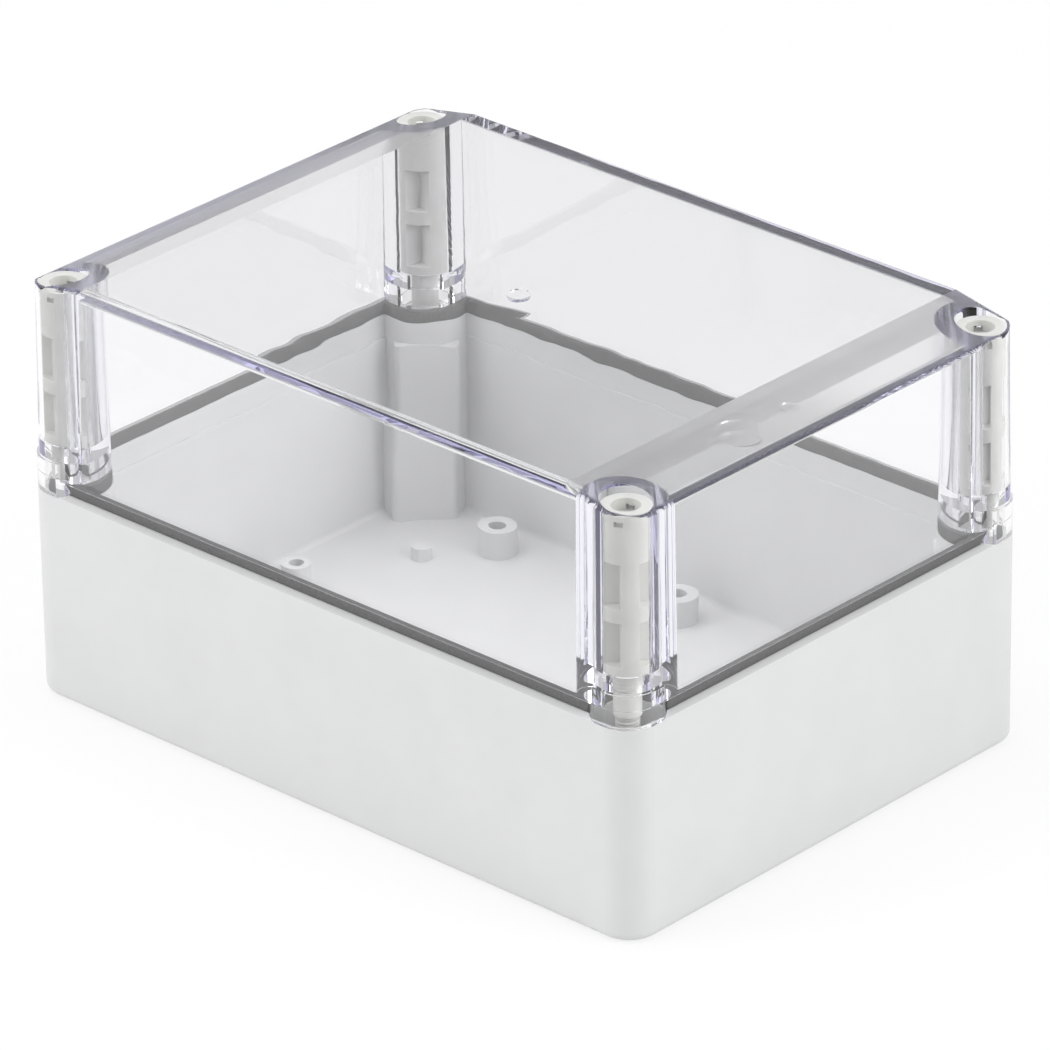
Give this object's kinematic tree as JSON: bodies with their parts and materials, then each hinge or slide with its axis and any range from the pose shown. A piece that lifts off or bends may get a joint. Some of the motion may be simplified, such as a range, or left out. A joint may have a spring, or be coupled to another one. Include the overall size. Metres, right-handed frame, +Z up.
{
  "type": "plastic enclosure",
  "caption": "Rectangular wall box with a light grey base tub, a clear lid of the same height that lifts off, a rubber seal in the rim groove and long plastic screws in the lid's corners.",
  "frame": {"origin": "middle of the base's underside, on the surface the box stands on", "axes": "+X along the length, +Y along the width towards the back, +Z up out of the lid"},
  "size_m": [0.175, 0.125, 0.1],
  "materials": {
    "base_plastic": "fine matte moulded texture",
    "clear_plastic": "clear gloss",
    "seal_rubber": "matte foam rubber",
    "screw_plastic": "satin moulded"
  },
  "bodies": {
    "tub": {"base": "base_plastic", "seal": "seal_rubber"},
    "lid": {"lid": "clear_plastic"},
    "screw_front_left": {"screw_front_left": "screw_plastic"},
    "screw_front_right": {"screw_front_right": "screw_plastic"},
    "screw_back_left": {"screw_back_left": "screw_plastic"},
    "screw_back_right": {"screw_back_right": "screw_plastic"}
  },
  "joints": [
    {"name": "lid_lift", "type": "slide", "parent": "tub", "child": "lid", "axis": [0, 0, 1], "range_m": [0, 0.06]},
    {"name": "screw_front_left_turn", "type": "hinge", "parent": "lid", "child": "screw_front_left", "pos_m": [-0.0802, -0.0552, 0.097], "axis": [0, 0, 1], "continuous": true},
    {"name": "screw_front_right_turn", "type": "hinge", "parent": "lid", "child": "screw_front_right", "pos_m": [0.0802, -0.0552, 0.097], "axis": [0, 0, 1], "continuous": true},
    {"name": "screw_back_left_turn", "type": "hinge", "parent": "lid", "child": "screw_back_left", "pos_m": [-0.0802, 0.0552, 0.097], "axis": [0, 0, 1], "continuous": true},
    {"name": "screw_back_right_turn", "type": "hinge", "parent": "lid", "child": "screw_back_right", "pos_m": [0.0802, 0.0552, 0.097], "axis": [0, 0, 1], "continuous": true}
  ]
}
